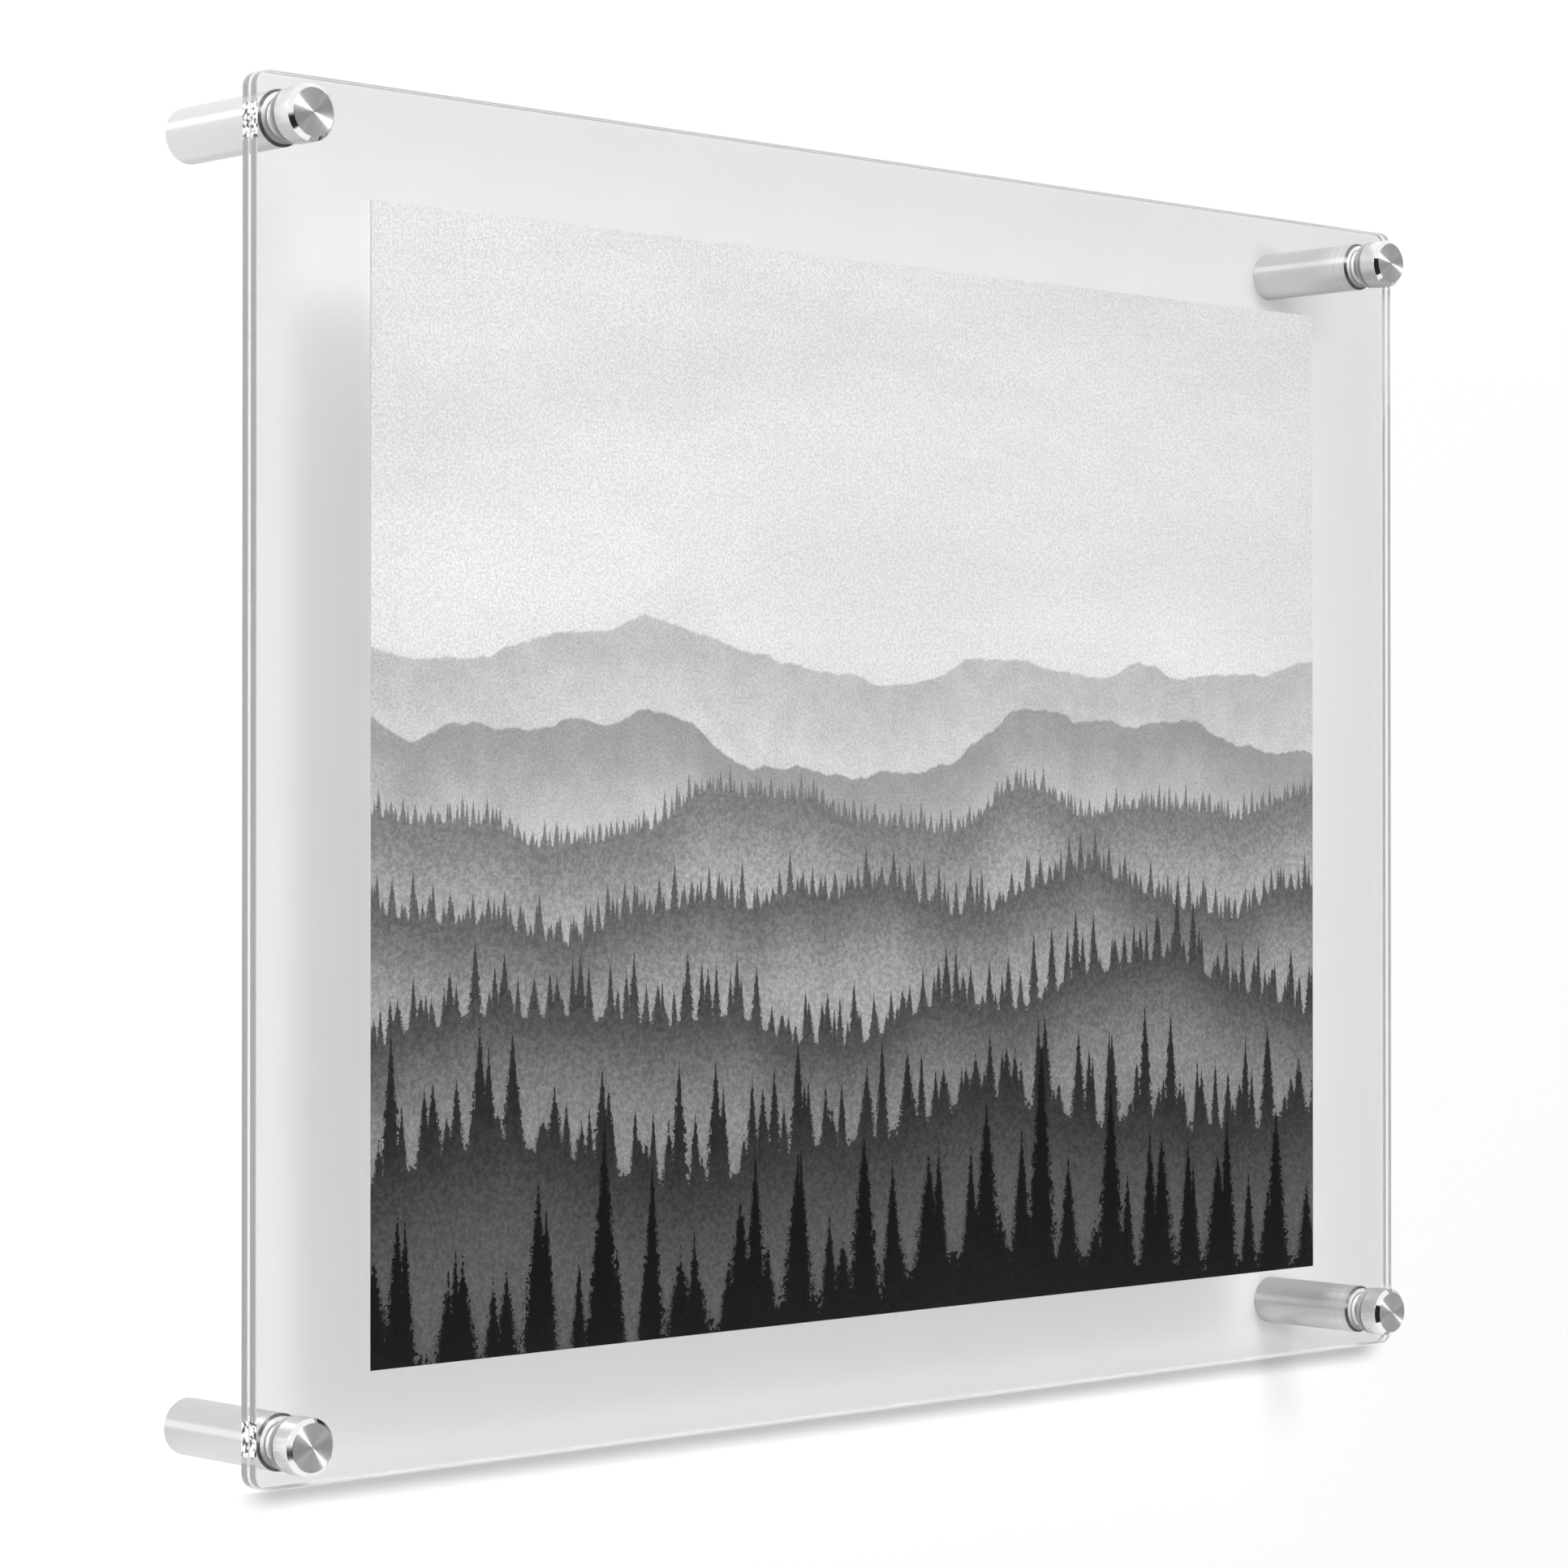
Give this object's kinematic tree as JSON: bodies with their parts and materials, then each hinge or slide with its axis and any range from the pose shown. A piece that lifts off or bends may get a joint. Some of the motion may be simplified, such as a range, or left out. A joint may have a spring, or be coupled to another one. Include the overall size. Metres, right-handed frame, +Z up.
{
  "type": "floating acrylic frame",
  "caption": "Wall frame of clear acrylic sheets that clamp a print between them and stand off the wall on turned metal standoffs.",
  "frame": {"origin": "on the wall plane, midway between the four standoffs", "axes": "+Z up, +Y into the wall, -Y towards the viewer, +X to the viewer's right"},
  "size_m": [0.3048, 0.0582, 0.2414],
  "materials": {
    "acrylic": "clear, polished",
    "print": "satin photographic paper",
    "satin_metal": "satin barrel, spun cap face, polished chamfers",
    "stud_metal": "bright threaded",
    "screw_metal": "zinc plated",
    "washer": "clear"
  },
  "bodies": {
    "wall_frame": {"rear_panel": "acrylic", "barrel_top_left": "satin_metal", "wall_screw_top_left": "screw_metal", "barrel_top_right": "satin_metal", "wall_screw_top_right": "screw_metal", "barrel_bottom_left": "satin_metal", "wall_screw_bottom_left": "screw_metal", "barrel_bottom_right": "satin_metal", "wall_screw_bottom_right": "screw_metal"},
    "front_panel": {"front_panel": "acrylic"},
    "art_print": {"art_print": "print"},
    "washer_top_left": {"washer_top_left": "washer"},
    "cap_top_left": {"cap_top_left": "satin_metal", "stud_top_left": "stud_metal"},
    "washer_top_right": {"washer_top_right": "washer"},
    "cap_top_right": {"cap_top_right": "satin_metal", "stud_top_right": "stud_metal"},
    "washer_bottom_left": {"washer_bottom_left": "washer"},
    "cap_bottom_left": {"cap_bottom_left": "satin_metal", "stud_bottom_left": "stud_metal"},
    "washer_bottom_right": {"washer_bottom_right": "washer"},
    "cap_bottom_right": {"cap_bottom_right": "satin_metal", "stud_bottom_right": "stud_metal"}
  },
  "joints": [
    {"name": "front_panel_lift", "type": "slide", "parent": "wall_frame", "child": "front_panel", "axis": [0, -1, 0], "range_m": [0, 0.04]},
    {"name": "print_slide", "type": "slide", "parent": "wall_frame", "child": "art_print", "axis": [0, 0, 1], "range_m": [0, 0.225]},
    {"name": "cap_travel_top_left", "type": "slide", "parent": "front_panel", "child": "washer_top_left", "axis": [0, -1, 0], "range_m": [0, 0.008]},
    {"name": "cap_turn_top_left", "type": "hinge", "parent": "washer_top_left", "child": "cap_top_left", "pos_m": [-0.1449, -0.0344, 0.11315], "axis": [0, -1, 0], "range_deg": [0, 2880]},
    {"name": "cap_travel_top_right", "type": "slide", "parent": "front_panel", "child": "washer_top_right", "axis": [0, -1, 0], "range_m": [0, 0.008]},
    {"name": "cap_turn_top_right", "type": "hinge", "parent": "washer_top_right", "child": "cap_top_right", "pos_m": [0.1449, -0.0344, 0.11315], "axis": [0, -1, 0], "range_deg": [0, 2880]},
    {"name": "cap_travel_bottom_left", "type": "slide", "parent": "front_panel", "child": "washer_bottom_left", "axis": [0, -1, 0], "range_m": [0, 0.008]},
    {"name": "cap_turn_bottom_left", "type": "hinge", "parent": "washer_bottom_left", "child": "cap_bottom_left", "pos_m": [-0.1449, -0.0344, -0.11315], "axis": [0, -1, 0], "range_deg": [0, 2880]},
    {"name": "cap_travel_bottom_right", "type": "slide", "parent": "front_panel", "child": "washer_bottom_right", "axis": [0, -1, 0], "range_m": [0, 0.008]},
    {"name": "cap_turn_bottom_right", "type": "hinge", "parent": "washer_bottom_right", "child": "cap_bottom_right", "pos_m": [0.1449, -0.0344, -0.11315], "axis": [0, -1, 0], "range_deg": [0, 2880]}
  ],
  "couplings": [
    {"joint": "cap_turn_top_left", "follows": "cap_travel_top_left", "rad_per_m": 6283.2},
    {"joint": "cap_turn_top_right", "follows": "cap_travel_top_right", "rad_per_m": 6283.2},
    {"joint": "cap_turn_bottom_left", "follows": "cap_travel_bottom_left", "rad_per_m": 6283.2},
    {"joint": "cap_turn_bottom_right", "follows": "cap_travel_bottom_right", "rad_per_m": 6283.2}
  ]
}
